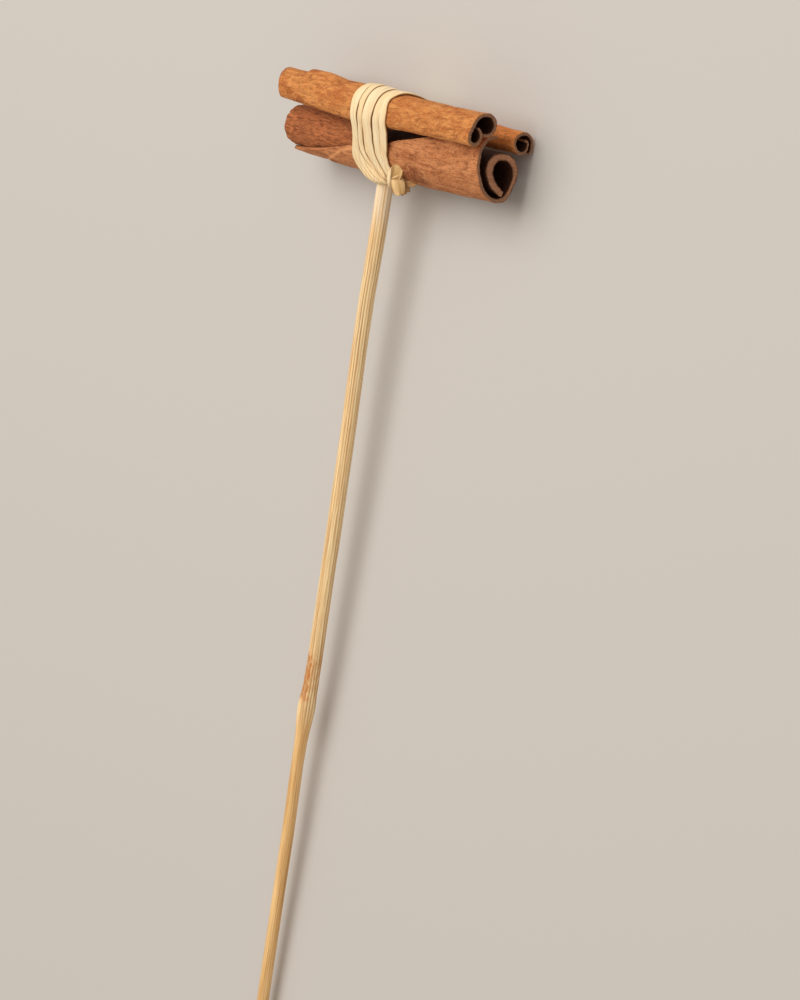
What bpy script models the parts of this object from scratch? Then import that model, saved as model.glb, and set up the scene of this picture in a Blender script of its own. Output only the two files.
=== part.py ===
"""A cinnamon pick: three quills of cinnamon bark tied across the tip of a reed stem with raffia.

Metres, +Z up. The pick lies on its back: the quills run along X and the stem along -Y.
Each quill is one sheet of bark that has rolled up from its edges. Its section is a chain of
tangent arcs in the YZ plane, read from the +X end with +Y up and -Z to the right, and an angle
round the section starts at the right and turns towards +Y.
"""
import math

import bmesh
import bpy
from mathutils import Vector

MM = 0.001
CLEARANCE = 0.3 * MM

# Quills: arcs are (turn in degrees, radius in mm) from the outer free edge inwards, at the -X end
# and at the +X end. Walls are (share of the way along the sheet, thickness in mm). Centre is
# (Y, Z) at the tie, and lean is how much each of the two grows with X. Swell is how much wider
# the quill is near the tie.
LARGE = {
    "name": "quill_large",
    "arcs": (
        ((92, 4.5), (14, 17.0), (52, 8.0), (72, 4.8), (40, 6.0), (70, 4.6), (50, 4.9), (82, 4.2), (46, 5.0)),
        ((92, 4.5), (14, 17.0), (52, 9.0), (72, 3.9), (40, 7.6), (70, 4.3), (50, 4.8), (82, 2.8), (50, 8.2)),
    ),
    "heading": 178,
    "walls": ((0.0, 0.8), (0.35, 0.95), (0.6, 1.35), (0.8, 2.1), (0.93, 2.1), (1.0, 1.4)),
    "ends": (-38.0 * MM, 40.0 * MM),
    "centre": (0.1 * MM, 0.0),
    "lean": (-0.026, 0.0),
    "bow": -0.6 * MM,
    "twist": 4.0,
    "swell": 0.0,
    "columns": 44,
    "rows": 20,
}
UPPER = {
    "name": "quill_upper",
    "arcs": (
        ((110, 1.7), (90, 2.4), (60, 3.8), (30, 5.2), (90, 1.6), (90, 1.3), (60, 1.9)),
        ((110, 2.25), (90, 2.6), (60, 4.4), (30, 6.8), (90, 1.65), (90, 1.65), (60, 2.5)),
    ),
    "heading": -20,
    "walls": ((0.0, 0.7), (0.2, 0.9), (0.8, 0.9), (1.0, 0.6)),
    "ends": (-38.4 * MM, 41.2 * MM),
    "centre": (9.05 * MM, 5.9 * MM),
    "lean": (-0.0255, 0.034),
    "bow": -0.45 * MM,
    "twist": 24.0,
    "swell": 0.2,
    "columns": 32,
    "rows": 9,
}
THIN = {
    "name": "quill_thin",
    "arcs": (
        ((90, 2.6), (80, 2.6), (90, 2.3), (90, 1.9), (60, 1.5), (70, 0.9)),
        ((85, 3.0), (80, 2.8), (90, 2.4), (90, 2.1), (60, 1.9), (80, 0.9)),
    ),
    "heading": 55,
    "walls": ((0.0, 0.6), (0.2, 0.8), (0.8, 0.8), (1.0, 0.6)),
    "ends": (-37.0 * MM, 40.0 * MM),
    "centre": (6.95 * MM, -7.0 * MM),
    "lean": (-0.028, -0.008),
    "bow": 0.2 * MM,
    "twist": 10.0,
    "swell": 0.0,
    "columns": 26,
    "rows": 7,
}
SWELL_X = -5.0 * MM
SWELL_REACH = 14.0 * MM
END_RAGGED = 0.35 * MM

# The large quill's outer sheet is torn away towards the -X end, where its inner roll shows.
# The table is (X in mm, width of sheet that is gone in mm), and most rows lie between the splits.
TEAR = (
    (-38.0, 18.7),
    (-5.0, 10.6),
    (4.7, 10.0),
    (6.9, 8.6),
    (9.9, 7.7),
    (13.5, 7.0),
    (20.0, 5.6),
    (26.0, 0.0),
)
TEAR_SPLITS = (-5.0 * MM, 26.0 * MM)
FLAP_WIDTH = 26.0 * MM
FLAP_COLUMNS = 20
FLAP_SHORT = 0.8 * MM

# Raffia: ribbons side by side round all three quills, gathered beside the stem at a place (Y, Z).
# The band's edges are (angle round the tie in degrees, X of one edge and of the other in mm).
BAND_EDGES = (
    (0, -5.4, 7.6),
    (60, -6.0, 10.0),
    (95, -5.9, 12.4),
    (108, -5.8, 12.0),
    (118, -5.5, 9.9),
    (130, -5.8, 8.2),
    (145, -5.5, 8.8),
    (180, -6.7, 7.1),
    (205, -7.8, 6.3),
    (225, -8.4, 6.3),
    (240, -8.0, 6.8),
    (252, 2.2, 7.4),
    (285, 2.4, 8.0),
    (330, -2.0, 7.8),
)
GATHER = (-8.2 * MM, 2.6 * MM)
BAND_PLACES = (-7 * MM, -2 * MM, 3 * MM, 8 * MM, 12 * MM)
BAND_STATIONS = 60
RIBBONS = 4
RIBBON_THICK = 0.9 * MM
GROOVE_THICK = 0.5 * MM
FLAT_SPOT = 0.25 * MM

# Knot: places are (X in mm, angle round the tie in degrees, distance from the axis in mm), and a
# tail's sections add its width. The tails are turned between +X and up.
KNOT_PLACE = (7.7, 247.2, 9.2)
KNOT_RADII = (2.0 * MM, 1.5 * MM, 1.9 * MM)
TAILS = (
    ((7.9, 246, 9.0, 2.4), (9.3, 239, 9.0, 3.6), (10.6, 228, 8.9, 4.2), (11.4, 218, 9.0, 3.6)),
    ((8.1, 247, 9.0, 2.4), (9.4, 250, 10.0, 3.6), (10.5, 252, 11.4, 3.9), (11.1, 252, 12.4, 3.4)),
    ((8.5, 249, 9.0, 1.4), (10.9, 256, 9.5, 1.8), (13.3, 260, 9.8, 1.4)),
)
TAIL_FACING = (0.77, 0.05, 0.64)
TAIL_THICK = 1.0 * MM
TAIL_BULGE = 0.6

# Stem: it slopes down to the floor. Lean is how much its X grows with the distance below the tip,
# and bundle above is how far the bundle reaches above the upper quill's centre.
PICK_LENGTH = 300.0 * MM
BUNDLE_ABOVE = 5.0 * MM
STEM_X = -0.3 * MM
STEM_LEAN = -0.04
STEM_RADIUS = 1.95 * MM
STEM_THIN = 1.55 * MM
STEM_RIDGES = 4
RIDGE_SHARE = 0.07
NODE_BELOW = 136.0 * MM
NODE_SWELL = 0.35 * MM
NODE_LENGTH = 9.0 * MM
NODE_JOG = -0.5 * MM
STEM_SEAT = 0.5 * MM
STEM_SIDES = 16

BARK_COLOUR = (0.42, 0.18, 0.08)
RAFFIA_COLOUR = (0.82, 0.62, 0.35)
REED_COLOUR = (0.66, 0.44, 0.2)


def clear_scene():
    for obj in list(bpy.data.objects):
        bpy.data.objects.remove(obj)


def new_collection(name):
    group = bpy.data.collections.new(name)
    bpy.context.scene.collection.children.link(group)
    return group


def new_material(name, colour, roughness):
    mat = bpy.data.materials.new(name)
    mat.use_nodes = True
    shader = mat.node_tree.nodes["Principled BSDF"]
    shader.inputs["Base Color"].default_value = (*colour, 1.0)
    shader.inputs["Roughness"].default_value = roughness
    shader.inputs["Metallic"].default_value = 0.0
    return mat


def add_object(name, bm, mat, group, parent):
    mesh = bpy.data.meshes.new(name)
    bm.to_mesh(mesh)
    bm.free()
    mesh.materials.append(mat)
    mesh.shade_smooth()
    mesh.set_sharp_from_angle(angle=math.radians(40))
    obj = bpy.data.objects.new(name, mesh)
    group.objects.link(obj)
    obj.parent = parent
    return obj


def smoothstep(t):
    t = min(max(t, 0.0), 1.0)
    return t * t * (3 - 2 * t)


def mix(a, b, t):
    return a + (b - a) * t


def between(table, place):
    """A table's values at a place, mixed from the rows on either side of it."""
    for (start, *before), (end, *after) in zip(table, table[1:]):
        if place <= end:
            t = max((place - start) / (end - start), 0.0)
            return [mix(a, b, t) for a, b in zip(before, after)]
    return table[-1][1:]


def polar(x, angle, distance):
    """A place from its X, its angle round the tie in degrees and its distance from the axis."""
    angle = math.radians(angle)
    return Vector((x, distance * math.sin(angle), -distance * math.cos(angle)))


# ---- Quills


class Roll:
    """A quill's section at one place, as a chain of tangent arcs."""

    def __init__(self, quill, share):
        self.heading = math.radians(quill["heading"])
        self.arcs = []
        for (turn_a, radius_a), (turn_b, radius_b) in zip(*quill["arcs"]):
            turn = math.radians(mix(turn_a, turn_b, share))
            self.arcs.append((turn, mix(radius_a, radius_b, share) * MM))
        self.length = sum(turn * radius for turn, radius in self.arcs)
        samples = 90
        places = [self.walk(self.length * i / samples) for i in range(samples + 1)]
        rights = [place[0] for place in places]
        ups = [place[1] for place in places]
        self.middle = ((min(rights) + max(rights)) / 2, (min(ups) + max(ups)) / 2)

    def walk(self, distance):
        """Position to the right and up, and heading, at a distance along the sheet."""
        right, up, heading = 0.0, 0.0, self.heading
        for turn, radius in self.arcs:
            run = min(distance, turn * radius)
            ahead = heading + run / radius
            right += radius * (math.sin(ahead) - math.sin(heading))
            up += radius * (math.cos(heading) - math.cos(ahead))
            heading = ahead
            distance -= run
            if distance <= 0:
                break
        return right, up, heading


def wall_at(quill, part):
    """Thickness at a share of the way along the sheet, from the outer edge to the inner one."""
    walls = quill["walls"]
    for (start, thin), (end, thick) in zip(walls, walls[1:]):
        if part <= end:
            return mix(thin, thick, smoothstep((part - start) / (end - start))) * MM
    return walls[-1][1] * MM


def tear_at(x):
    """Width of the large quill's outer sheet that is gone at a place along it."""
    return between(TEAR, x / MM)[0] * MM


def sheet_parts(quill, roll, x):
    """Shares of the sheet at which a row has its points. A torn sheet's row starts later."""
    count = quill["columns"]
    if quill is not LARGE:
        return [i / count for i in range(count + 1)]
    start = tear_at(x) / roll.length
    flap = FLAP_WIDTH / roll.length
    torn = [mix(start, flap, i / FLAP_COLUMNS) for i in range(FLAP_COLUMNS)]
    rest = count - FLAP_COLUMNS
    return torn + [mix(flap, 1.0, i / rest) for i in range(rest + 1)]


def row_shares(quill):
    """Rows along a quill. The large one has most of them where its sheet is torn."""
    rows = quill["rows"]
    if quill is not LARGE:
        return [i / rows for i in range(rows + 1)]
    left, right = quill["ends"]
    torn, whole = ((split - left) / (right - left) for split in TEAR_SPLITS)
    quarter = rows // 4
    shares = [torn * i / quarter for i in range(quarter)]
    shares += [mix(torn, whole, i / (2 * quarter)) for i in range(2 * quarter)]
    return shares + [mix(whole, 1.0, i / quarter) for i in range(quarter + 1)]


def end_shift(quill, distance, side):
    """How far a point at a quill's end lies inside its length: a slightly uneven cut."""
    shift = END_RAGGED * (0.5 + 0.5 * math.sin(distance / MM * 0.7 + side))
    if quill is LARGE and side < 0:
        torn = tear_at(quill["ends"][0])
        shift += FLAP_SHORT * smoothstep((FLAP_WIDTH - distance) / (FLAP_WIDTH - torn))
    return shift


def sheet_point(quill, roll, share, part):
    """A point on the bark sheet and its outward direction; share runs from the -X end to +X."""
    distance = part * roll.length
    right, up, heading = roll.walk(distance)
    turn = math.radians(quill["twist"]) * (1 - share)
    x = mix(*quill["ends"], share)
    wider = 1 + quill["swell"] * math.exp(-(((x - SWELL_X) / SWELL_REACH) ** 2))
    right, up = wider * (right - roll.middle[0]), wider * (up - roll.middle[1])
    right, up = right * math.cos(turn) - up * math.sin(turn), right * math.sin(turn) + up * math.cos(turn)
    start = quill["ends"][0] + end_shift(quill, distance, -1) * (1 - share) ** 4
    end = quill["ends"][1] - end_shift(quill, distance, 1) * share ** 4
    x = mix(start, end, share)
    bend = quill["bow"] * (1 - (2 * share - 1) ** 2)
    y = quill["centre"][0] + quill["lean"][0] * x + up + bend
    z = quill["centre"][1] + quill["lean"][1] * x - right
    heading += turn
    return Vector((x, y, z)), Vector((0.0, -math.cos(heading), -math.sin(heading)))


def make_quill(quill, mat, group, parent):
    """One sheet of bark, rolled up, with its wall from a Solidify modifier."""
    left, right = quill["ends"]
    thickest = max(wall for part, wall in quill["walls"]) * MM
    bm = bmesh.new()
    rows = []
    weights = []
    for share in row_shares(quill):
        roll = Roll(quill, share)
        parts = sheet_parts(quill, roll, mix(left, right, share))
        rows.append([bm.verts.new(sheet_point(quill, roll, share, part)[0]) for part in parts])
        weights += [wall_at(quill, part) / thickest for part in parts]
    for low, high in zip(rows, rows[1:]):
        for i in range(len(low) - 1):
            bm.faces.new((low[i], low[i + 1], high[i + 1], high[i]))
    obj = add_object(quill["name"], bm, mat, group, parent)
    wall = obj.vertex_groups.new(name="wall")
    for index, weight in enumerate(weights):
        wall.add([index], weight, "REPLACE")
    solidify = obj.modifiers.new("bark", "SOLIDIFY")
    solidify.thickness = thickest
    solidify.offset = 0.0
    solidify.vertex_group = wall.name
    solidify.use_even_offset = True
    return obj


# ---- Raffia


def loft(bm, rings, closed):
    """Faces between rings of points, round a closed loop or with a cap at both ends."""
    loops = [[bm.verts.new(point) for point in ring] for ring in rings]
    following = loops[1:] + loops[:1] if closed else loops[1:]
    for low, high in zip(loops, following):
        for i in range(len(low)):
            j = (i + 1) % len(low)
            bm.faces.new((low[i], low[j], high[j], high[i]))
    if not closed:
        bm.faces.new(reversed(loops[0]))
        bm.faces.new(loops[-1])
    bmesh.ops.recalc_face_normals(bm, faces=bm.faces)


def outline_points(quill):
    """The outside of a quill over the width of the band, as points in the YZ plane."""
    left, right = quill["ends"]
    points = []
    for x in BAND_PLACES:
        share = (x - left) / (right - left)
        roll = Roll(quill, share)
        for part in sheet_parts(quill, roll, x):
            place, outward = sheet_point(quill, roll, share, part)
            points.append((place + outward * wall_at(quill, part) / 2).yz)
    return points


def taut_loop():
    """A taut loop just clear of all the quills, as evenly spaced (place, outward) in YZ."""
    points = [point for quill in (LARGE, UPPER, THIN) for point in outline_points(quill)]
    points.append(Vector(GATHER))
    directions = 360
    fine = []
    for i in range(directions):
        angle = 2 * math.pi * i / directions
        outward = Vector((math.sin(angle), -math.cos(angle)))
        fine.append(max(points, key=outward.dot) + outward * CLEARANCE)
    ahead = fine[1:] + fine[:1]
    steps = [(b - a).length for a, b in zip(fine, ahead)]
    spacing = sum(steps) / BAND_STATIONS
    loop = []
    walked = 0.0
    for place, following, step in zip(fine, ahead, steps):
        while step > 0 and len(loop) < BAND_STATIONS and len(loop) * spacing < walked + step:
            loop.append(place.lerp(following, (len(loop) * spacing - walked) / step))
        walked += step
    turned = []
    for i, place in enumerate(loop):
        along = loop[(i + 1) % len(loop)] - loop[i - 1]
        turned.append((place, Vector((along.y, -along.x)).normalized()))
    return turned


def band_edges(angle):
    """X of the band's two edges at an angle round the tie."""
    start, near, far = BAND_EDGES[0]
    near, far = between((*BAND_EDGES, (start + 360, near, far)), angle)
    return near * MM, far * MM


def make_band(mat, group, parent):
    """The ribbons side by side, as one ring with a groove between each two."""
    loop = taut_loop()
    floor = min(place.y + outward.y * RIBBON_THICK for place, outward in loop) + FLAT_SPOT
    across = RIBBONS * 3
    rings = []
    for place, outward in loop:
        angle = math.degrees(math.atan2(place.x, -place.y)) % 360
        near, far = band_edges(angle)
        ring = []
        for i in range(across + 1):
            thick = GROOVE_THICK if i % 3 == 0 else RIBBON_THICK
            point = place + outward * thick
            ring.append(Vector((mix(near, far, i / across), point.x, max(point.y, floor))))
        for i in range(RIBBONS + 1):
            ring.append(Vector((mix(far, near, i / RIBBONS), place.x, place.y)))
        rings.append(ring)
    bm = bmesh.new()
    loft(bm, rings, closed=True)
    return add_object("raffia_tie", bm, mat, group, parent)


def make_tail(sections, mat, group, parent):
    """A short flat end of ribbon, lofted through its sections."""
    places = [polar(x * MM, angle, distance * MM) for x, angle, distance, width in sections]
    rings = []
    for i, place in enumerate(places):
        along = (places[min(i + 1, len(places) - 1)] - places[max(i - 1, 0)]).normalized()
        side = along.cross(Vector(TAIL_FACING)).normalized()
        out = side.cross(along)
        half = side * sections[i][3] * MM / 2
        lift = out * TAIL_THICK / 2
        inner = half * TAIL_BULGE
        ring = [place - half, place - inner + lift, place + inner + lift]
        ring += [place + half, place + inner - lift, place - inner - lift]
        rings.append(ring)
    bm = bmesh.new()
    loft(bm, rings, closed=False)
    return add_object("tail", bm, mat, group, parent)


def make_knot(mat, group, parent):
    """The lump where the ribbons are tied."""
    bm = bmesh.new()
    bmesh.ops.create_uvsphere(bm, u_segments=14, v_segments=8, radius=1.0)
    place = polar(KNOT_PLACE[0] * MM, KNOT_PLACE[1], KNOT_PLACE[2] * MM)
    for vert in bm.verts:
        vert.co = place + Vector([radius * value for radius, value in zip(KNOT_RADII, vert.co)])
    return add_object("knot", bm, mat, group, parent)


def join_solids(target, pieces):
    """Unions that make one solid of touching pieces, which are kept as hidden guides."""
    for piece in pieces:
        piece.hide_render = True
        piece.display_type = "WIRE"
        union = target.modifiers.new(piece.name, "BOOLEAN")
        union.operation = "UNION"
        union.solver = "EXACT"
        union.object = piece


def make_raffia(group, guides, parent):
    mat = new_material("raffia", RAFFIA_COLOUR, 0.6)
    band = make_band(mat, group, parent)
    pieces = [make_knot(mat, guides, parent)]
    pieces += [make_tail(sections, mat, guides, parent) for sections in TAILS]
    join_solids(band, pieces)
    return band


# ---- Stem


def make_stem(group, parent, top_y, floor):
    """The reed: ridged above its node, smoother and thinner below it, sloping to the floor."""
    far_y = UPPER["centre"][0] + BUNDLE_ABOVE - PICK_LENGTH
    node_y = top_y - NODE_BELOW
    places = [top_y, top_y - 10 * MM]
    places += [top_y - NODE_BELOW * share for share in (0.35, 0.65, 0.85)]
    places += [node_y + NODE_LENGTH * step for step in (0.9, 0.45, 0.15, -0.15, -0.45, -0.9)]
    places += [mix(far_y, node_y - NODE_LENGTH, share) for share in (0.7, 0.35, 0.0)]
    rings = []
    for y in places:
        past = (node_y - y) / NODE_LENGTH
        thinned = smoothstep(past + 0.5)
        radius = mix(STEM_RADIUS, STEM_THIN, thinned) + NODE_SWELL * math.exp(-(past * 3) ** 2)
        ridges = RIDGE_SHARE * (1 - 0.7 * thinned)
        x = STEM_X + STEM_LEAN * (top_y - y) + NODE_JOG * thinned
        z = mix(0.0, floor + STEM_THIN, (top_y - y) / (top_y - far_y))
        ring = []
        for i in range(STEM_SIDES):
            angle = 2 * math.pi * (i + 0.5) / STEM_SIDES
            r = radius * (1 + ridges * math.cos(STEM_RIDGES * angle))
            ring.append(Vector((x + r * math.cos(angle), y, max(z + r * math.sin(angle), floor))))
        rings.append(ring)
    bm = bmesh.new()
    loft(bm, rings, closed=False)
    return add_object("reed_stem", bm, new_material("reed", REED_COLOUR, 0.6), group, parent)


def world_box(objects):
    """Lowest and highest corners of some objects as evaluated, with their modifiers."""
    graph = bpy.context.evaluated_depsgraph_get()
    corners = []
    for obj in objects:
        ready = obj.evaluated_get(graph)
        corners += [ready.matrix_world @ Vector(corner) for corner in ready.bound_box]
    low = Vector([min(corner[i] for corner in corners) for i in range(3)])
    high = Vector([max(corner[i] for corner in corners) for i in range(3)])
    return low, high


def main():
    clear_scene()
    group = new_collection("cinnamon_pick")
    guides = new_collection("guides")
    parent = bpy.data.objects.new("cinnamon_pick_origin", None)
    group.objects.link(parent)
    bark = new_material("cinnamon bark", BARK_COLOUR, 0.75)
    quills = [make_quill(quill, bark, group, parent) for quill in (LARGE, UPPER, THIN)]
    raffia = make_raffia(group, guides, parent)
    under = world_box(quills[:1])[0].y
    floor = world_box([raffia])[0].z
    stem = make_stem(group, parent, under + STEM_SEAT, floor)
    low, high = world_box([*quills, raffia, stem])
    parent.location = (-(low.x + high.x) / 2, -(low.y + high.y) / 2, -low.z)


main()
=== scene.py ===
"""The looks of the cinnamon pick: bark, raffia and reed in place of the plain solids.

Metres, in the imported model's frame. Places are worked out from the tie, which is the middle of the
large quill where the raffia holds it. The quills run along X and the stem along -Y. A quill's
section is seen from the +X end, with +Y up and -Z to the right.
"""
import math

import bpy
import numpy as np
from mathutils import Matrix, Vector


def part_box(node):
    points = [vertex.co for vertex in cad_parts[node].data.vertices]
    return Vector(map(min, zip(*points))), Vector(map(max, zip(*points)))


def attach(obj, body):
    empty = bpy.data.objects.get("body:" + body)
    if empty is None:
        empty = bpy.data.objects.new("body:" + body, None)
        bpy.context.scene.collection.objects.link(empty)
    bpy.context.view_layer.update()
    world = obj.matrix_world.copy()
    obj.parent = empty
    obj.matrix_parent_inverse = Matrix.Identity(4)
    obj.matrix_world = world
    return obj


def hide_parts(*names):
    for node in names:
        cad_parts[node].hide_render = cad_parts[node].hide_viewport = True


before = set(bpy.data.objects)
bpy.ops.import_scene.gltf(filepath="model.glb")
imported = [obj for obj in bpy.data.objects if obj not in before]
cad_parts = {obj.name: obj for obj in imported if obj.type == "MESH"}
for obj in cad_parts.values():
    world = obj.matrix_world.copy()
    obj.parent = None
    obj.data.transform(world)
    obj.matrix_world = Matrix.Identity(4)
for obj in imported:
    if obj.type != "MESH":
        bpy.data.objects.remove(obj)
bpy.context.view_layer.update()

MM = 0.001
FLOOR, FLOOR_REACH = 0.0, 6.0

# Quills: arcs are (turn in degrees, radius in mm) from the outer free edge inwards, at the -X end
# and at the +X end. Heading is the sheet's direction at that edge, in degrees. Walls are (share of
# the way along the sheet, thickness in mm). Centre is (Y, Z) at the tie, and lean is how much each
# of the two grows with X. Bow is the rise of the middle in mm, twist the turn of the -X end in
# degrees, and swell the share by which the quill is wider near the tie. Columns are the mesh's
# points along the sheet.
LARGE = {
    "node": "quill_large",
    "arcs": (
        ((92, 4.5), (14, 17.0), (52, 8.0), (72, 4.8), (40, 6.0), (70, 4.6), (50, 4.9), (82, 4.2), (46, 5.0)),
        ((92, 4.5), (14, 17.0), (52, 9.0), (72, 3.9), (40, 7.6), (70, 4.3), (50, 4.8), (82, 2.8), (50, 8.2)),
    ),
    "heading": 178,
    "walls": ((0.0, 0.8), (0.35, 0.95), (0.6, 1.35), (0.8, 2.1), (0.93, 2.1), (1.0, 1.4)),
    "ends": (-38.0, 40.0),
    "centre": (0.1, 0.0),
    "lean": (-0.026, 0.0),
    "bow": -0.6,
    "twist": 4.0,
    "swell": 0.0,
    "columns": 170,
    "seed": 11,
}
UPPER = {
    "node": "quill_upper",
    "arcs": (
        ((110, 1.7), (90, 2.4), (60, 3.8), (30, 5.2), (90, 1.6), (90, 1.3), (60, 1.9)),
        ((110, 2.25), (90, 2.6), (60, 4.4), (30, 6.8), (90, 1.65), (90, 1.65), (60, 2.5)),
    ),
    "heading": -20,
    "walls": ((0.0, 0.7), (0.2, 0.9), (0.8, 0.9), (1.0, 0.6)),
    "ends": (-38.4, 41.2),
    "centre": (9.05, 5.9),
    "lean": (-0.0255, 0.034),
    "bow": -0.45,
    "twist": 24.0,
    "swell": 0.2,
    "columns": 100,
    "seed": 23,
}
THIN = {
    "node": "quill_thin",
    "arcs": (
        ((90, 2.6), (80, 2.6), (90, 2.3), (90, 1.9), (60, 1.5), (70, 0.9)),
        ((85, 3.0), (80, 2.8), (90, 2.4), (90, 2.1), (60, 1.9), (80, 0.9)),
    ),
    "heading": 55,
    "walls": ((0.0, 0.6), (0.2, 0.8), (0.8, 0.8), (1.0, 0.6)),
    "ends": (-37.0, 40.0),
    "centre": (6.95, -7.0),
    "lean": (-0.028, -0.008),
    "bow": 0.2,
    "twist": 10.0,
    "swell": 0.0,
    "columns": 60,
    "seed": 37,
}

# Where along X a quill swells, and over what reach, in mm.
SWELL_X, SWELL_REACH = -5.0, 14.0

# Every end is cut a little unevenly, in mm. The upper quill's -X end is cut at a slant: mm of length
# for each mm up. Chips are (depth, size) of small and of large breaks in the cut edges, in mm.
END_RAGGED, UPPER_SLANT = 0.35, 0.24
SMALL_CHIPS, LARGE_CHIPS = (0.12, 0.5), (0.1, 1.6)

# The mesh's steps along a quill, in mm, and its layers through the wall.
ROW_STEP, WALL_LAYERS = 0.32, 4

# In mm along the sheet, where the large quill's outer layer ends and its inner roll begins.
ROLL_START = 24.0

# How far the bark's slow waves stay away from the raffia, in mm from the middle of the band.
BAND_MIDDLE, BAND_REACH, BAND_FADE = 1.5, 7.0, 5.0

# A raised lip of bark along the top of the upper quill, in mm: its two ends along X, its height and
# its half width.
LIP, LIP_HIGH, LIP_REACH = (-30.4, -12.0), 1.15, 2.4

# Marks on the large quill, as (X, distance along the sheet) in mm: a dark stain, a small ring
# where a twig grew, and the X from which the bark is scuffed.
STAIN, STAIN_SIZE = (15.0, 16.0), (4.5, 2.6)
RING, RING_RADIUS = (18.4, 14.8), 0.85
SCUFFED, SCUFFED_FADE = 23.0, 8.0

# The large quill's outer sheet is torn away towards the -X end, where its inner roll shows:
# (X, width of sheet that is gone) in mm. The tongue of bark that is left below the tear is a little
# shorter than the roll: FLAP_SHORT mm at the torn edge, and nothing FLAP_WIDTH mm along the sheet.
TEAR = (
    (-38.0, 18.7),
    (-5.0, 10.6),
    (4.7, 10.0),
    (6.9, 8.6),
    (9.9, 7.7),
    (13.5, 7.0),
    (20.0, 5.6),
    (26.0, 0.0),
)
FLAP_WIDTH, FLAP_SHORT = 26.0, 0.8

# A crack in the tongue of bark below the tear, in mm: its distance from the torn edge, the X where
# it turns away from that edge and how steeply, its two ends along X, and the step across it.
CRACK_BESIDE, CRACK_TURN, CRACK_SLOPE = 0.55, -13.0, 0.28
CRACK_ENDS, CRACK_STEP = (-24.0, -6.0), 0.3

# Raffia, in mm: at angles round the tie in degrees, X of the band's near edge, of the two deep
# grooves in it and of its far edge. Ribbons are (near edge, far edge, lift): each edge is a line
# number, where 0.36 past line 1 is 1.36.
BAND_LINES = (
    (0, -5.4, -3.2, 2.6, 7.6),
    (60, -6.0, -3.5, 3.5, 10.0),
    (95, -5.9, -3.2, 5.4, 12.4),
    (108, -5.8, -3.0, 5.4, 12.2),
    (118, -5.5, -2.8, 4.4, 9.7),
    (130, -5.9, -2.5, 3.9, 8.1),
    (145, -5.5, -2.6, 3.6, 8.8),
    (160, -5.8, -3.3, 2.4, 8.2),
    (180, -6.7, -4.3, 1.6, 7.1),
    (205, -7.8, -4.5, 1.5, 6.3),
    (225, -8.4, -3.2, 2.2, 6.3),
    (240, -8.0, -0.9, 3.3, 6.8),
    (250, -5.0, 1.8, 4.2, 7.2),
    (257, 1.0, 3.2, 4.8, 7.5),
    (285, 2.4, 4.0, 5.6, 8.0),
    (330, -2.0, 0.0, 4.0, 7.8),
)
RIBBONS = ((0.0, 0.98, 0.0), (1.04, 1.37, 0.1), (1.36, 1.97, 0.04), (2.04, 2.52, 0.0), (2.5, 3.0, 0.08))
STATIONS, RIBBON_COLUMNS, RIBBON_THICK, RIBBON_SEED = 300, 22, 0.28, 50

# Every degree round the tie, and the places in mm along X where a taut loop round the quills is
# worked out from the points that are within a reach of it.
DEGREES = np.arange(0, 360, 1.0)
LOOP_PLACES, LOOP_REACH = np.arange(-10.0, 14.1, 4.0), 3.0

# The point (Y, Z) through which the turns are drawn together at the knot. Angles (degree, reach)
# round the tie: where the ribbons bunch up, where they lift off each other, and where they sag.
GATHER = (-8.2, 2.6)
BUNCHED, LIFTED, SAGGING = (256, 22), (112, 16), (253, 9)

# Knot pieces, in mm from the knot: (place to the right, up and towards the viewer, width, cup) along
# each strip. Cup is how far the strip's edges bend towards the viewer.
KNOT = (7.7, -8.45, 3.55)
STRIP_ROWS, STRIP_COLUMNS, STRIP_LAYERS, STRIP_THICK, STRIP_SEED = 44, 18, 2, 0.32, 90
KNOT_STRIPS = {
    "wrap": (
        (-1.2, -1.4, -0.6, 1.1, -0.3),
        (-1.35, -0.6, 0.9, 1.4, -0.35),
        (-1.35, 0.9, 1.3, 1.5, -0.35),
        (-1.1, 2.4, 0.9, 1.3, -0.3),
        (-0.5, 3.2, -0.4, 1.0, -0.2),
    ),
    "fold": (
        (0.0, 0.3, 1.1, 2.1, 0.1),
        (0.2, 1.4, 1.9, 2.6, 0.3),
        (0.4, 2.6, 2.3, 2.9, 0.3),
        (0.6, 3.8, 2.4, 2.9, 0.1),
    ),
    "fold_back": (
        (0.6, 4.0, 2.2, 2.8, -0.1),
        (0.7, 3.5, 1.3, 2.9, -0.2),
        (0.8, 2.0, 0.2, 2.8, -0.4),
        (0.8, 0.4, -0.4, 2.2, -0.4),
    ),
    "lip": (
        (-0.9, 0.7, 1.6, 0.7, -0.2),
        (0.2, 1.0, 2.0, 0.9, -0.3),
        (1.2, 1.5, 1.9, 0.9, -0.3),
        (2.1, 1.9, 1.3, 0.7, -0.2),
    ),
    "end": (
        (0.3, 1.2, 1.0, 2.5, -0.3),
        (0.45, 0.2, 1.6, 3.3, -0.5),
        (0.7, -1.4, 1.8, 3.5, -0.5),
        (1.0, -3.4, 1.6, 2.7, -0.4),
    ),
    "end_under": (
        (1.0, 0.0, 0.3, 2.2, -0.2),
        (1.8, -1.4, 0.5, 2.8, -0.3),
        (2.6, -3.2, 0.3, 2.3, -0.3),
    ),
    "tail": (
        (1.4, 0.2, 0.2, 1.0, 0.0),
        (2.8, -0.7, 0.4, 1.6, 0.2),
        (4.2, -0.6, 0.5, 1.7, 0.3),
        (5.3, -0.1, 0.4, 1.1, 0.3),
    ),
}

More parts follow.
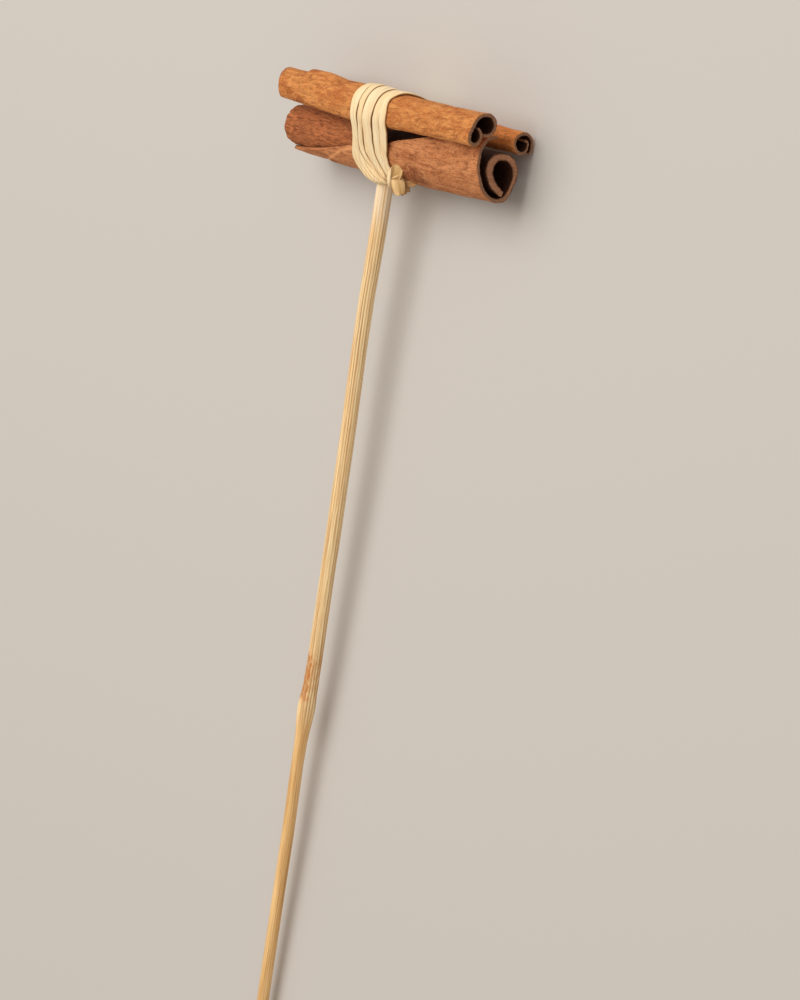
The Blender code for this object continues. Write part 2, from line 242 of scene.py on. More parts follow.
# Stem, in mm: X of its tip past the tie, how much X changes with each mm down, the height of its
# foot's middle, its ribs, and its mesh's points round it and steps along it. Marks are (distance
# below its tip, radius, shift along X). It has one node, where it bends, swells and grows thinner,
# and where an old leaf sheath has left its scar.
STEM_X, STEM_LEAN = -0.3, -0.04
STEM_REST, STEM_RIBS, STEM_POINTS, STEM_STEP = 1.55, 17, 144, 0.7
STEM_MARKS = (
    (0.0, 2.1, 0.1),
    (14.0, 2.05, -0.05),
    (30.0, 1.95, -0.6),
    (44.0, 1.93, -0.6),
    (62.0, 1.9, -0.2),
    (89.0, 1.92, 0.0),
    (101.0, 1.84, 0.0),
    (116.0, 1.86, 0.05),
    (122.0, 1.88, 0.1),
    (126.0, 1.92, 0.0),
    (130.0, 2.0, -0.1),
    (133.5, 2.2, -0.35),
    (136.0, 2.3, -0.45),
    (139.0, 2.15, -0.5),
    (142.0, 1.86, -0.55),
    (145.0, 1.64, -0.6),
    (151.0, 1.57, -0.7),
    (170.0, 1.58, -0.4),
    (188.0, 1.55, -0.5),
    (280.0, 1.5, -0.5),
)

# In mm below the tip: the scar's two ends, the node, and where the paler tip ends.
SCAR, NODE, PALE_ABOVE = (121.0, 135.0), 134.0, 16.0

# Camera: right and up are directions in the part's frame; distance and aim in metres from the tie,
# lens and sensor in mm.
CAMERA_RIGHT = Vector((0.628, 0.148, -0.764))
CAMERA_UP = Vector((-0.132, 0.988, 0.083))
CAMERA_DISTANCE = 0.874
CAMERA_LENS, SENSOR = 127.5, 36.0
AIM_RIGHT, AIM_DOWN = 0.002, 0.088

# The one lamp: direction from the tie, distance and size in metres, power in watts and colour.
LAMP = {
    "direction": (-0.09, 0.38, 0.92),
    "distance": 1.4,
    "size": 1.5,
    "watts": 17.8,
    "tint": (1.0, 0.98, 0.95),
}
SKY_STRENGTH = 0.62


# ---- Numbers


def mix(a, b, t):
    return a + (b - a) * t


def smoothstep(t):
    t = np.clip(t, 0.0, 1.0)
    return t * t * (3 - 2 * t)


def bell(offset, reach):
    """1 at an offset of 0, falling smoothly to almost nothing at two reaches from it."""
    return np.exp(-((offset / reach) ** 2))


def grain(u, v, seed):
    """Smooth random heights from -1 to 1 over two coordinates, with a feature size of 1."""
    size = 128
    heights = np.random.default_rng(seed).uniform(-1, 1, (size, size))
    iu, iv = np.floor(u).astype(int), np.floor(v).astype(int)
    fu, fv = smoothstep(u - iu), smoothstep(v - iv)
    near_u, far_u = iu % size, (iu + 1) % size
    near_v, far_v = iv % size, (iv + 1) % size
    low = mix(heights[near_u, near_v], heights[far_u, near_v], fu)
    high = mix(heights[near_u, far_v], heights[far_u, far_v], fu)
    return mix(low, high, fv)


def unit(vectors):
    return vectors / np.linalg.norm(vectors, axis=-1, keepdims=True)


def view_axes():
    """The camera's right, up and back, each at right angles to the others."""
    right = CAMERA_RIGHT.normalized()
    up = (CAMERA_UP - right * CAMERA_UP.dot(right)).normalized()
    return right, up, right.cross(up)


# ---- Meshes


def make_piece(name, points, faces, node, material, facts):
    """A smooth mesh from points in metres, with one value or vector a point for each fact."""
    mesh = bpy.data.meshes.new(name)
    mesh.from_pydata(points.tolist(), [], faces.tolist() if hasattr(faces, "tolist") else faces)
    mesh.validate()
    for fact, values in facts.items():
        form = "FLOAT_VECTOR" if values.ndim == 2 else "FLOAT"
        attribute = mesh.attributes.new(fact, form, "POINT")
        attribute.data.foreach_set("vector" if values.ndim == 2 else "value", values.ravel())
    mesh.shade_smooth()
    mesh.materials.append(material)
    piece = bpy.data.objects.new(name, mesh)
    bpy.context.scene.collection.objects.link(piece)
    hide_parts(node)
    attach(piece, "root")
    return piece


def grid_faces(index, around=False):
    """Quads over a grid of point numbers; around joins its last column to its first."""
    if around:
        index = np.concatenate([index, index[:, :1]], axis=1)
    low, high = index[:-1], index[1:]
    return np.stack([low[:, :-1], low[:, 1:], high[:, 1:], high[:, :-1]], axis=-1).reshape(-1, 4)


def border(grid):
    """A grid's outermost entries, in order round it."""
    return np.concatenate([grid[0, :-1], grid[:-1, -1], grid[-1, :0:-1], grid[:0:-1, 0]])


def closed_sheet(outer, inner, layers):
    """Points, faces and share through the wall of a sheet with a rim all round."""
    rows, columns = outer.shape[:2]
    top = np.arange(rows * columns).reshape(rows, columns)
    under = top + rows * columns
    chain = [border(top)]
    points = [outer.reshape(-1, 3), inner.reshape(-1, 3)]
    depth = [np.zeros(rows * columns), np.ones(rows * columns)]
    count = 2 * rows * columns
    above, below = border(outer), border(inner)
    for layer in range(1, layers):
        t = layer / layers
        points.append(mix(above, below, t))
        depth.append(np.full(len(above), t))
        chain.append(np.arange(count, count + len(above)))
        count += len(above)
    chain.append(border(under))
    faces = [grid_faces(top), grid_faces(under)[:, ::-1], grid_faces(np.array(chain), True)[:, ::-1]]
    return np.concatenate(points), np.concatenate(faces), np.concatenate(depth)


def over_sheet(outer, inner, layers):
    """A value for each point of a closed sheet, from a grid of values over each of its faces."""
    both = [values.reshape(-1, *values.shape[2:]) for values in (outer, inner)]
    return np.concatenate(both + [border(outer)] * (layers - 1))


# ---- Quills


def arcs_at(quill, share):
    """A quill's arcs (turn in radians, radius) at a share of the way along it."""
    pairs = zip(*quill["arcs"])
    return [(math.radians(mix(a[0], b[0], share)), mix(a[1], b[1], share)) for a, b in pairs]


def walk(quill, arcs, distance):
    """Position to the right and up, and heading, at distances along the sheet."""
    heading = math.radians(quill["heading"])
    right = np.zeros_like(distance)
    up = np.zeros_like(distance)
    start = 0.0
    turned = np.full_like(distance, heading)
    for turn, radius in arcs:
        run = np.clip(distance - start, 0.0, turn * radius)
        ahead = heading + run / radius
        right += radius * (np.sin(ahead) - math.sin(heading))
        up += radius * (math.cos(heading) - np.cos(ahead))
        turned += run / radius
        heading += turn
        start += turn * radius
    return right, up, turned


def tear_at(x):
    """Width of the large quill's outer sheet that is gone at a place along it."""
    places, widths = zip(*TEAR)
    return float(np.interp(x, places, widths))


def end_shift(quill, distance, side):
    """How far a point at a quill's end lies inside its length: a slightly uneven cut."""
    shift = END_RAGGED * (0.5 + 0.5 * np.sin(distance * 0.7 + side))
    if quill is LARGE and side < 0:
        torn = tear_at(quill["ends"][0])
        shift = shift + FLAP_SHORT * smoothstep((FLAP_WIDTH - distance) / (FLAP_WIDTH - torn))
    return shift


def section(quill, share, columns):
    """Middle of the wall, outward direction, thickness and distance along the sheet, at a place."""
    left, right_end = quill["ends"]
    arcs = arcs_at(quill, share)
    length = sum(turn * radius for turn, radius in arcs)
    across, upwards, _ = walk(quill, arcs, np.linspace(0, length, 91))
    middle = ((across.min() + across.max()) / 2, (upwards.min() + upwards.max()) / 2)
    x = mix(left, right_end, share)
    start = tear_at(x) / length if quill is LARGE else 0.0
    part = np.linspace(start, 1.0, columns)
    distance = part * length
    right, up, heading = walk(quill, arcs, distance)
    wider = 1 + quill["swell"] * math.exp(-(((x - SWELL_X) / SWELL_REACH) ** 2))
    right, up = wider * (right - middle[0]), wider * (up - middle[1])
    turn = math.radians(quill["twist"]) * (1 - share)
    cosine, sine = math.cos(turn), math.sin(turn)
    right, up = right * cosine - up * sine, right * sine + up * cosine
    slant = UPPER_SLANT * np.maximum(up, 0.0) if quill is UPPER else 0.0
    along = mix(
        left + end_shift(quill, distance, -1) * (1 - share) ** 4 - slant * (1 - share) ** 6,
        right_end - end_shift(quill, distance, 1) * share ** 4,
        share,
    )
    y = quill["centre"][0] + quill["lean"][0] * along + up + quill["bow"] * (1 - (2 * share - 1) ** 2)
    z = quill["centre"][1] + quill["lean"][1] * along - right
    heading = heading + turn
    outward = np.stack([np.zeros_like(y), -np.cos(heading), -np.sin(heading)], axis=-1)
    shares, walls = zip(*quill["walls"])
    wall = np.interp(part, shares, walls)
    return np.stack([along, y, z], axis=-1), outward, wall, distance


def quill_grid(quill, rows, columns):
    """The same four over a whole quill, as grids with a row for each place along it."""
    parts = [section(quill, share, columns) for share in np.linspace(0, 1, rows)]
    return [np.stack(values) for values in zip(*parts)]


def outline(quill, rows=30, columns=80):
    """A quill's outer surface without its relief, as a cloud of points."""
    middle, outward, wall, _ = quill_grid(quill, rows, columns)
    return middle + outward * wall[..., None] / 2


def away_from_tie(x):
    """0 where the raffia holds the quills and 1 further out, so that the relief leaves it room."""
    return smoothstep((np.abs(x - BAND_MIDDLE) - BAND_REACH) / BAND_FADE)


def bark_relief(quill, x, distance, roll):
    """Height of the bark's outer face in mm: slow waves, lengthwise ridges and small scales."""
    seed = quill["seed"]
    waves = 0.14 * grain(x / 9, distance / 4, seed) + 0.08 * grain(x / 4, distance / 2.5, seed + 1)
    ridges = 0.05 * grain(x / 7, distance / 0.8, seed + 2) + 0.035 * grain(x / 2.5, distance / 0.5, seed + 3)
    scales = 0.03 * grain(x / 0.7, distance / 0.6, seed + 4)
    bent = distance + 0.8 * grain(x / 5, distance / 5, seed + 5)
    cracks = 0.16 * np.clip(1 - 3.2 * np.abs(grain(x / 6, bent / 1.1, seed + 6)), 0, 1)
    return waves * away_from_tie(x) + ridges + scales - cracks * roll


def large_marks(x, distance):
    """The large quill's crack, ring, stain and scuffs: extra relief in mm and three facts."""
    past_tear = distance - np.array([tear_at(place) for place in x[:, 0]])[:, None]
    beside = past_tear - CRACK_BESIDE - CRACK_SLOPE * np.maximum(CRACK_TURN - x, 0.0)
    nearby = smoothstep((CRACK_ENDS[1] - x) / 2.0) * smoothstep((x - CRACK_ENDS[0]) / 3.0)
    nearby = nearby * smoothstep((8.0 - past_tear) / 4.0)
    crack = 0.7 * bell(beside - 0.35, 0.4) * nearby
    from_ring = np.hypot(x - RING[0], distance - RING[1])
    ring, inside_ring = bell(from_ring - RING_RADIUS, 0.3), bell(from_ring, 0.45)
    relief = CRACK_STEP * smoothstep(beside / 0.3) * nearby + 0.1 * ring - 0.12 * inside_ring
    from_stain = np.hypot((x - STAIN[0]) / STAIN_SIZE[0], (distance - STAIN[1]) / STAIN_SIZE[1])
    marks = {
        "fresh": np.maximum(crack, ring),
        "stain": np.maximum(0.75 * smoothstep(1.6 - from_stain), inside_ring),
        "scuffed": smoothstep((x - SCUFFED) / SCUFFED_FADE),
    }
    return relief, marks


def lip_relief(x, distance, height):
    """The raised lip along the top of the upper quill, in mm."""
    top = np.take_along_axis(distance, height.argmax(axis=1)[:, None], axis=1)
    lip = smoothstep((x - LIP[0]) / 1.8) * smoothstep((LIP[1] - x) / 11.0)
    return LIP_HIGH * lip * bell(distance - top, LIP_REACH)


def make_quill(quill, tie, material):
    name = quill["node"].replace("quill", "bark")
    seed = quill["seed"]
    left, right = quill["ends"]
    rows = int((right - left) / ROW_STEP)
    middle, outward, wall, distance = quill_grid(quill, rows, quill["columns"])
    x = middle[..., 0]
    nothing = 0 * x
    roll = smoothstep((distance - ROLL_START) / 2.0) if quill is LARGE else nothing
    relief = bark_relief(quill, x, distance, roll)
    marks = {"fresh": nothing, "stain": nothing, "scuffed": nothing}
    if quill is LARGE:
        extra, marks = large_marks(x, distance)
        relief = relief + extra
    if quill is UPPER:
        relief = relief + lip_relief(x, distance, middle[..., 1])
    chips = SMALL_CHIPS[0] * grain(distance / SMALL_CHIPS[1], nothing, seed + 7)
    chips = chips + LARGE_CHIPS[0] * grain(distance / LARGE_CHIPS[1], nothing, 5)
    toward_end = smoothstep(np.abs(x - (left + right) / 2) - (right - left) / 2 + 1.0)
    middle = middle + np.stack([chips * toward_end, nothing, nothing], axis=-1)
    inside = 0.06 * grain(x / 5, distance / 0.9, seed + 8)
    outer = middle + outward * (wall / 2 + relief)[..., None]
    inner = middle - outward * (wall / 2 + inside)[..., None]
    points, faces, depth = closed_sheet(outer, inner, WALL_LAYERS)
    sheet = np.stack([x, distance], axis=-1)
    along = over_sheet(sheet, sheet, WALL_LAYERS)
    from_end = np.minimum(along[:, 0] - left, right - along[:, 0])
    in_wall = (depth > 0.01) & (depth < 0.99)
    rolled = over_sheet(roll, roll, WALL_LAYERS)
    # Painted shade: from X = -6 mm on, the large quill's inner roll lies under its outer sheet and the upper
    # quill, and is darkened as if shaded by them.
    painted_shade_in_roll = rolled * smoothstep((along[:, 0] + 6.0) / 8.0)
    facts = {
        "bark": np.column_stack([along, depth * 3]),
        "cut": np.where(in_wall & (from_end < 1.2), 1.0, smoothstep(1 - from_end / 0.25) * 0.6),
        "roll": rolled,
        # Darkened: the inner face, partly the inner bark's own darker brown and partly painted shade, and
        # the covered inner roll, as painted shade.
        "inner_bark_and_painted_shade": np.maximum(smoothstep((depth - 0.6) / 0.3), painted_shade_in_roll),
    }
    for fact, values in marks.items():
        facts[fact] = over_sheet(values, nothing, WALL_LAYERS)
    return make_piece(name, points * MM + tie, faces, quill["node"], material, facts)


# ---- Raffia


def smoothed(rows, half, reach):
    """Rows of values at every degree round the tie, each averaged over its neighbours."""
    shifts = range(-half, half + 1)
    window = np.exp(-(np.array(shifts) / reach) ** 2)
    window /= window.sum()
    return sum(weight * np.roll(rows, shift, axis=1) for shift, weight in zip(shifts, window))


def band_lines():
    """X of the band's four lines at every degree round the tie."""
    marks = np.array(BAND_LINES, dtype=float)
    lines = [np.interp(DEGREES, marks[:, 0], line, period=360) for line in marks.T[1:]]
    return smoothed(np.array(lines), 9, 3.5)


def hull_radius(cloud, angles):
    """Distance from the tie's axis to a taut loop round points, at angles round it."""
    turns = np.linspace(0, 2 * math.pi, 720, endpoint=False)
    directions = np.stack([np.sin(turns), -np.cos(turns)], axis=-1)
    corners = cloud[np.argmax(cloud @ directions.T, axis=0)]
    t = np.linspace(0, 1, 12, endpoint=False)[:, None, None]
    dense = mix(corners[None], np.roll(corners, -1, axis=0)[None], t).reshape(-1, 2)
    at = np.degrees(np.arctan2(dense[:, 0], -dense[:, 1])) % 360
    order = np.argsort(at)
    return np.interp(angles, at[order], np.linalg.norm(dense, axis=1)[order], period=360)


def band_surface():
    """Distance of a taut loop at every degree round the tie, at each of the loops' places."""
    cloud = np.concatenate([outline(quill).reshape(-1, 3) for quill in (LARGE, UPPER, THIN)])
    loops = []
    for place in LOOP_PLACES:
        near = cloud[np.abs(cloud[:, 0] - place) < LOOP_REACH][:, 1:]
        loops.append(hull_radius(np.concatenate([near, [GATHER]]), DEGREES))
    return smoothed(np.array(loops), 6, 2.5)


def on_band(loops, angle, x):
    """Points on the taut surface and their outward directions, from angles and X."""
    step = LOOP_PLACES[1] - LOOP_PLACES[0]
    row = np.clip((x - LOOP_PLACES[0]) / step, 0, len(LOOP_PLACES) - 1.001)
    near_row = row.astype(int)

    def radius(at):
        at = at % 360
        degree = np.floor(at).astype(int) % 360
        past, following = at - np.floor(at), (degree + 1) % 360
        low = mix(loops[near_row, degree], loops[near_row, following], past)
        high = mix(loops[near_row + 1, degree], loops[near_row + 1, following], past)
        return mix(low, high, row - near_row)

    def place(at):
        turn = np.radians(at)
        return np.stack([x, radius(at) * np.sin(turn), -radius(at) * np.cos(turn)], axis=-1)

    here = place(angle)
    ahead = place(angle + 1.5) - place(angle - 1.5)
    outward = unit(np.stack([np.zeros_like(x), ahead[..., 2], -ahead[..., 1]], axis=-1))
    return here, outward


def ribbon_edges(number, angle, stations):
    """X of a ribbon's two edges at its stations, a little uneven."""
    lines = band_lines()
    seed = RIBBON_SEED + 7 * number
    edges = []
    for line, shift in ((RIBBONS[number][0], 1), (RIBBONS[number][1], 2)):
        low = min(int(line), 2)
        place = np.interp(angle, DEGREES, mix(lines[low], lines[low + 1], line - low), period=360)
        place = place + 0.1 * grain(stations / 5, stations * 0, seed)
        edges.append(place + 0.07 * grain(stations / 1.4, stations * 0, seed + shift))
    return edges


def make_ribbon(number, loops, tie, material):
    """One turn of raffia round the tie: a thin crowned strip, creased along it, bunched at the knot."""
    lift = RIBBONS[number][2]
    seed = RIBBON_SEED + 7 * number
    mid = loops[len(loops) // 2]
    walked = np.concatenate([[0], np.cumsum(np.hypot(np.diff(mid, append=mid[0]), mid * math.radians(1)))])
    stations = np.linspace(0, walked[-1], STATIONS, endpoint=False)
    angle = np.interp(stations, walked, np.append(DEGREES, 360.0))
    near, far = ribbon_edges(number, angle, stations)
    t = np.linspace(0, 1, RIBBON_COLUMNS)
    x = mix(near[:, None], far[:, None], t[None])
    width = np.maximum(far - near, 0.4)[:, None]
    angle, along = angle[:, None] + 0 * x, stations[:, None] + 0 * x
    here, outward = on_band(loops, angle, x)
    bunched = bell(angle - BUNCHED[0], BUNCHED[1])
    crown = (0.24 + 0.4 * bunched) * (1 - np.abs(2 * t - 1) ** 2.6)
    over = lift * (1 + 1.5 * bell(angle - LIFTED[0], LIFTED[1]))
    place = t[None] * width / 1.5 + 0.5 * grain(along / 11, along * 0 + 3, seed + 3)
    fold = np.clip(1 - 4 * np.abs((place % 1) - 0.5), 0, 1) * (0.2 + 0.8 * bunched)
    crease = -(0.08 + 0.2 * bunched) * fold
    fibres = 0.03 * grain(along / 7, x / 0.25, seed + 4) + 0.02 * grain(along / 2, x / 0.13, seed + 5)
    height = 0.3 + over + crown + crease + fibres
    low_turn = bell(angle - SAGGING[0], SAGGING[1]) * smoothstep((5.5 - x) / 5.0)
    here = here + np.stack([x * 0, -1.1 * low_turn, 0.25 * low_turn], axis=-1)
    outer = here + outward * height[..., None]
    inner = here + outward * (height - RIBBON_THICK)[..., None]
    points = np.concatenate([outer, inner[:, ::-1]], axis=1)
    rows, ring = points.shape[:2]
    index = np.arange(rows * ring).reshape(rows, ring)
    index = np.concatenate([index, index[:1]])
    across = np.concatenate([x, x[:, ::-1]], axis=1).ravel()
    length = np.concatenate([along, along], axis=1).ravel()
    # Painted shade: marks the ribbon's edges and its creases for darkening, where shade falls between the
    # turns and in the folds.
    wear_and_painted_shade = np.maximum(np.abs(2 * t - 1)[None], 0.8 + 0.2 * fold * (fold > 0))
    facts = {
        "fibre": np.column_stack([across, length, np.full(rows * ring, 10.0 * number)]),
        "edge": np.concatenate([wear_and_painted_shade, wear_and_painted_shade[:, ::-1]], axis=1).ravel(),
    }
    faces = grid_faces(index, True)[:, ::-1]
    name = f"raffia_ribbon_{number + 1}"
    return make_piece(name, points.reshape(-1, 3) * MM + tie, faces, "raffia_tie", material, facts)


def smooth_path(marks, count):
    """A smooth curve through rows of numbers."""
    marks = np.array(marks, dtype=float)
    padded = np.concatenate([2 * marks[:1] - marks[1:2], marks, 2 * marks[-1:] - marks[-2:-1]])
    t = np.linspace(0, len(marks) - 1.0001, count)
    i = t.astype(int)
    f = (t - i)[:, None]
    a, b, c, d = padded[i], padded[i + 1], padded[i + 2], padded[i + 3]
    square, cube = 2 * a - 5 * b + 4 * c - d, 3 * b - a - 3 * c + d
    return 0.5 * (2 * b + (c - a) * f + square * f ** 2 + cube * f ** 3)


def make_strip(number, name, marks, tie, material):
    """A short thick strip of raffia near the knot, its flat side towards the viewer."""
    axes = np.array(view_axes())
    path = smooth_path(marks, STRIP_ROWS)
    middle = path[:, :3] @ axes
    along = unit(np.gradient(middle, axis=0))
    across = unit(np.cross(along, axes[2]))
    facing = np.cross(across, along)
    t = np.linspace(-1, 1, STRIP_COLUMNS)[None, :, None]
    width, cup = path[:, 3][:, None, None], path[:, 4][:, None, None]
    length = np.concatenate([[0], np.cumsum(np.linalg.norm(np.diff(middle, axis=0), axis=1))])[:, None]
    across_mm = (t * width / 2)[..., 0]
    seed = STRIP_SEED + 5 * number
    share = np.linspace(0, 1, STRIP_ROWS)[:, None]
    frayed = share ** 8 * 0.3 * grain(across_mm / 0.35, across_mm * 0, seed)
    fibres = 0.05 * grain(length / 5, across_mm / 0.3, seed + 1)
    fibres = fibres + 0.12 * grain(length / 3, across_mm / 1.1, seed + 2)
    centre = middle[:, None] + across[:, None] * t * width / 2 + facing[:, None] * (cup * t ** 2)
    centre = centre + facing[:, None] * fibres[..., None] + along[:, None] * frayed[..., None]
    half_wall = facing[:, None] * (STRIP_THICK / 2)
    outer, inner = centre + half_wall, centre - half_wall
    points, faces, _ = closed_sheet(outer, inner, STRIP_LAYERS)
    grid = np.stack([across_mm, length + 0 * across_mm, 0 * across_mm + 20 + 7 * number], axis=-1)
    # Painted shade: the raffia material darkens the strip's edges.
    edge = np.abs(t[..., 0]) + 0 * across_mm
    facts = {"fibre": over_sheet(grid, grid, STRIP_LAYERS), "edge": over_sheet(edge, edge, STRIP_LAYERS)}
    place = (points + np.array(KNOT)) * MM + tie
    return make_piece(f"raffia_knot_{name}", place, faces, "raffia_tie", material, facts)


# ---- Stem


def make_stem(tie, material):
    low, high = (np.array(corner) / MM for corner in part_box("reed_stem"))
    top, foot = high[1], low[1]
    y = np.concatenate([np.arange(top, foot, -STEM_STEP), [foot]])[:, None]
    turn = np.linspace(0, 2 * math.pi, STEM_POINTS, endpoint=False)[None]
    down = top - y
    places, radii, shifts = zip(*STEM_MARKS)
    radius = np.interp(down, places, radii)
    below = smoothstep((down - SCAR[1]) / 8.0)
    rough = 1 - 0.45 * below
    wander = 0.5 * grain(down / 50, turn * 0, 70)
    flutes = np.cos(3 * turn + 2.0 + wander) + 0.7 * np.cos(5 * turn + 4 * wander)
    rib = 0.5 + 0.5 * np.cos(STEM_RIBS * turn + 5 * wander + 1.2 * grain(down / 25, turn * 1.3, 71))
    strong = smoothstep(0.55 + 0.6 * grain(down / 35, turn * 2.0, 72))
    ridges = 0.02 * flutes - 0.045 * rib ** 2 * (0.35 + 0.65 * strong)
    fine = 0.008 * grain(down / 9, turn * 9, 73)
    scarred = smoothstep((down - SCAR[0]) / 2) * smoothstep((SCAR[1] - down) / 2)
    torn = scarred * smoothstep(np.cos(turn - 2.2) * 1.5)
    swollen = bell(down - NODE, 3.5)
    knobs = (0.03 * swollen + 0.012 * scarred) * grain(down / 1.2, turn * 3, 74)
    r = radius * (1 + (ridges + fine) * rough + knobs - 0.045 * torn)
    x = tie[0] / MM + STEM_X + STEM_LEAN * down + np.interp(down, places, shifts)
    z = mix(tie[2] / MM, STEM_REST, down / (top - foot))
    above_floor = np.maximum(z + r * np.sin(turn), 0.02)
    points = np.stack([x + r * np.cos(turn), y + 0 * r, above_floor], axis=-1)
    index = np.arange(points.size // 3).reshape(points.shape[:2])
    points = points.reshape(-1, 3)
    faces = grid_faces(index, True).tolist()
    caps = []
    for ring, order in ((index[0], -1), (index[-1], 1)):
        middle = len(points)
        points = np.concatenate([points, points[ring].mean(axis=0)[None]])
        for a, b in zip(ring, np.roll(ring, -1)):
            caps.append([a, b, middle][::order])
    faces = [[int(v) for v in face] for face in faces + caps]

    def everywhere(values, at_caps):
        return np.append((values + 0 * (down + turn)).ravel(), at_caps)

    around = everywhere(turn * 1.8, [0, 0])
    # Painted shade in the grooves between the ribs, together with the scar's own darker colour.
    wear_and_painted_shade = np.maximum(0.7 + 0.3 * rib ** 2 * (0.4 + 0.6 * strong) * (1 - 0.5 * below), 0.9 * torn)
    facts = {
        "fibre": np.column_stack([around, everywhere(down, [0, 0]), np.zeros(len(points))]),
        "groove": everywhere(wear_and_painted_shade, [0.9, 0.9]),
        "scar": everywhere(np.clip(torn + 0.45 * scarred, 0, 1), [0, 0]),
        "below": everywhere(below, [0, 1]),
        "pale": everywhere(smoothstep((PALE_ABOVE - down) / 10.0), [0, 0]),
    }
    return make_piece("reed", points * MM, faces, "reed_stem", material, facts)


# ---- Materials


class Nodes:
    """A material's shader nodes, made and linked by short calls."""

    def __init__(self, name, roughness, specular):
        self.material = bpy.data.materials.new(name)
        self.material.use_nodes = True
        self.tree = self.material.node_tree
        self.shader = self.tree.nodes["Principled BSDF"]
        self.shader.inputs["Roughness"].default_value = roughness
        self.shader.inputs["Specular IOR Level"].default_value = specular

    def node(self, kind, **settings):
        node = self.tree.nodes.new(kind)
        for key, value in settings.items():
            setattr(node, key, value)
        return node

    def feed(self, socket, value):
        if isinstance(value, bpy.types.NodeSocket):
            self.tree.links.new(value, socket)
        else:
            socket.default_value = value

    def fact(self, name):
        node = self.node("ShaderNodeAttribute", attribute_name=name)
        return node.outputs["Vector"], node.outputs["Fac"]

    def stretched(self, vector, scale):
        node = self.node("ShaderNodeVectorMath", operation="MULTIPLY")
        self.feed(node.inputs[0], vector)
        node.inputs[1].default_value = scale
        return node.outputs[0]

    def moved(self, vector, offset):
        node = self.node("ShaderNodeVectorMath", operation="ADD")
        self.feed(node.inputs[0], vector)
        node.inputs[1].default_value = offset
        return node.outputs[0]

    def turned(self, vector, degrees):
        node = self.node("ShaderNodeVectorRotate", rotation_type="Z_AXIS")
        self.feed(node.inputs["Vector"], vector)
        node.inputs["Angle"].default_value = math.radians(degrees)
        return node.outputs[0]

    def noise(self, vector, scale, detail=3.0, roughness=0.55, distortion=0.0):
        node = self.node("ShaderNodeTexNoise")
        self.feed(node.inputs["Vector"], self.stretched(vector, scale))
        node.inputs["Scale"].default_value = 1.0
        node.inputs["Detail"].default_value = detail
        node.inputs["Roughness"].default_value = roughness
        node.inputs["Distortion"].default_value = distortion
        return node.outputs["Fac"]

    def span(self, value, low, high, to_low=0.0, to_high=1.0):
        node = self.node("ShaderNodeMapRange", interpolation_type="SMOOTHSTEP")
        self.feed(node.inputs["Value"], value)
        node.inputs["From Min"].default_value = low
        node.inputs["From Max"].default_value = high
        node.inputs["To Min"].default_value = to_low
        node.inputs["To Max"].default_value = to_high
        return node.outputs[0]

    def maths(self, operation, a, b):
        node = self.node("ShaderNodeMath", operation=operation)
        self.feed(node.inputs[0], a)
        self.feed(node.inputs[1], b)
        return node.outputs[0]

    def blend(self, factor, a, b, mode="MIX"):
        node = self.node("ShaderNodeMix", data_type="RGBA", blend_type=mode)
        self.feed(node.inputs[0], factor)
        self.feed(node.inputs[6], a)
        self.feed(node.inputs[7], b)
        return node.outputs[2]

    def bump(self, height, distance, normal=None):
        node = self.node("ShaderNodeBump")
        node.inputs["Distance"].default_value = distance
        self.feed(node.inputs["Height"], height)
        if normal is not None:
            self.feed(node.inputs["Normal"], normal)
        return node.outputs[0]


def colour(red, green, blue):
    """A linear colour from the usual 0 to 255 values."""
    def linear(value):
        value /= 255
        return value / 12.92 if value <= 0.04045 else ((value + 0.055) / 1.055) ** 2.4
    return (linear(red), linear(green), linear(blue), 1.0)


# Light, middle and dark colour of each bark and of the raffia in the band, the knot and its ends.
TAN = colour(222, 149, 97), colour(190, 117, 70), colour(122, 66, 38)
ORANGE = colour(228, 154, 87), colour(196, 117, 60), colour(132, 70, 34)
# The thin quill's colours are its brown bark made lighter: painted light that makes up for the upper quill's
# shadow on it.
BROWN_WITH_PAINTED_LIGHT = colour(240, 152, 82), colour(212, 124, 62), colour(132, 70, 36)
RAFFIA = colour(254, 232, 188), colour(250, 218, 166), colour(164, 114, 60)
RAFFIA_KNOT = colour(246, 210, 152), colour(216, 172, 108), colour(146, 98, 50)
RAFFIA_DARK = colour(206, 160, 104), colour(176, 128, 76), colour(112, 76, 42)


